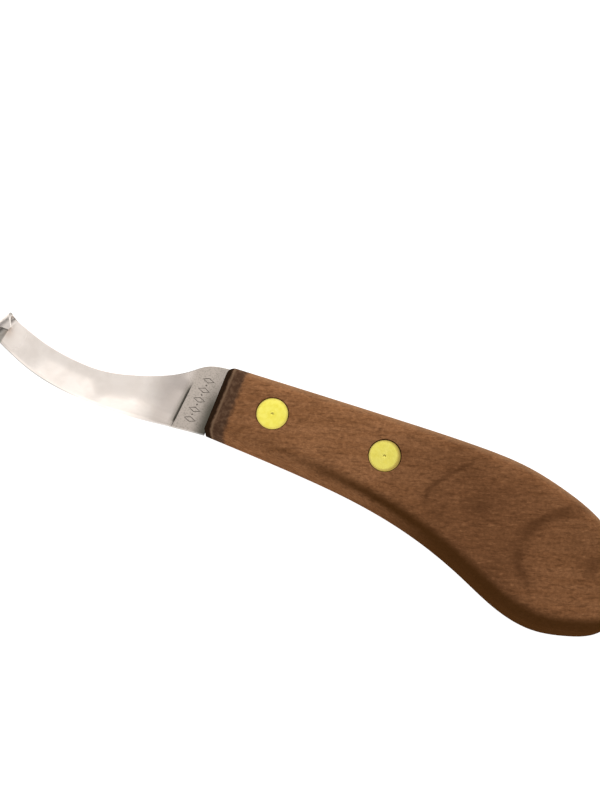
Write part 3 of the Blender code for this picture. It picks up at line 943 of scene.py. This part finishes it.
CAMERA_TILT = math.radians(14.0)  # off the upright line, towards the cutting edge
CAMERA_AZIMUTH = math.radians(-68.954)
CAMERA_ROLL = math.radians(21.631)
CAMERA_FAR = 0.560  # in metres, as the floor and the lights are
CAMERA_AIM = (5.2266, 8.9271, 10.0)
CAMERA_LENS = 84.87
FLOOR_HALF = 4.0
FLOOR_DROP = 0.0002
FLOOR_GREY = 0.45
FLOOR_GLOW = 0.93
KEY = {"at": (-0.13, 0.725, 0.688), "size": (0.9, 1.27), "power": 3.3}
RIM = {"at": (0.1, 1.15, 0.32), "size": (1.6, 0.45), "power": 3.4}


def make_camera():
    """The photograph's view, from above with the knife slanting down to the right."""
    back = Vector((
        math.sin(CAMERA_TILT) * math.cos(CAMERA_AZIMUTH),
        math.sin(CAMERA_TILT) * math.sin(CAMERA_AZIMUTH),
        math.cos(CAMERA_TILT),
    ))
    level_up = (Vector((0, 1, 0)) - back * back.y).normalized()
    level_right = level_up.cross(back)
    right = math.cos(CAMERA_ROLL) * level_right + math.sin(CAMERA_ROLL) * level_up
    up = math.cos(CAMERA_ROLL) * level_up - math.sin(CAMERA_ROLL) * level_right
    data = bpy.data.cameras.new("camera")
    data.lens = CAMERA_LENS
    data.clip_start = 0.01
    camera = bpy.data.objects.new("camera", data)
    bpy.context.scene.collection.objects.link(camera)
    turn = Matrix((right, up, back)).transposed().to_4x4()
    camera.matrix_world = Matrix.Translation(ORIGIN + Vector(CAMERA_AIM) * MM + back * CAMERA_FAR) @ turn
    bpy.context.scene.camera = camera


def make_floor():
    """A plain pale floor that glows a little, so that it stays white round the knife."""
    half = FLOOR_HALF
    mesh = bpy.data.meshes.new("floor")
    corners = [(-half, -half, 0), (half, -half, 0), (half, half, 0), (-half, half, 0)]
    mesh.from_pydata(corners, [], [(0, 1, 2, 3)])
    floor = bpy.data.objects.new("floor", mesh)
    floor.location.z = -FLOOR_DROP
    bpy.context.scene.collection.objects.link(floor)
    material = bpy.data.materials.new("pale_floor")
    material.use_nodes = True
    shader = material.node_tree.nodes["Principled BSDF"]
    shader.inputs["Base Color"].default_value = (FLOOR_GREY, FLOOR_GREY, FLOOR_GREY, 1.0)
    shader.inputs["Roughness"].default_value = 0.9
    shader.inputs["Specular IOR Level"].default_value = 0.0
    shader.inputs["Emission Color"].default_value = (1.0, 1.0, 1.0, 1.0)
    shader.inputs["Emission Strength"].default_value = FLOOR_GLOW
    mesh.materials.append(material)


def area_light(name, at, size, power):
    """A rectangular light that faces the middle of the knife. Its place and size are in metres."""
    data = bpy.data.lights.new(name, "AREA")
    data.shape = "RECTANGLE"
    data.size, data.size_y = size
    data.energy = power
    light = bpy.data.objects.new(name, data)
    bpy.context.scene.collection.objects.link(light)
    light.location = at
    light.rotation_mode = "QUATERNION"
    light.rotation_quaternion = (-Vector(at)).to_track_quat("-Z", "Y")


def make_world():
    """A soft white room, which the polished steel mirrors.

    It is brighter overhead and towards the spine, has a bright strip towards the cutting edge, and is dimmer
    where the key light is, because that light is added to what the steel mirrors.
    """
    world = bpy.data.worlds.new("room")
    world.use_nodes = True
    n = Graph(world.node_tree)
    _, y, z = n.split(n.node("TexCoord").outputs["Generated"])
    room = n.ramp(n.math("MULTIPLY_ADD", y, 0.55, z), -0.15, 1.0, 0.10, 0.88)
    strip = n.times(n.ramp(y, -0.04, -0.15, 0.0, 0.60), n.ramp(y, -0.50, -0.34))
    strip = n.times(strip, n.ramp(z, 0.5, 0.8))
    behind_key = n.ramp(y, 0.236, 0.285, 1.0, 0.32)
    background = n.tree.nodes["Background"]
    n.feed(background.inputs["Color"], (1.0, 1.0, 1.0, 1.0))
    n.feed(background.inputs["Strength"], n.times(n.plus(room, strip), behind_key))
    bpy.context.scene.world = world


def make_stage():
    scene = bpy.context.scene
    scene.view_settings.view_transform = "Standard"
    scene.view_settings.look = "None"
    make_camera()
    make_floor()
    make_world()
    area_light("key", **KEY)
    area_light("rim", **RIM)


make_stage()
STEEL = make_steel()
ENGRAVING = make_engraving()
make_handle()
make_blade()
for rivet_name, rivet_x in RIVETS.items():
    make_rivet(rivet_name, rivet_x)
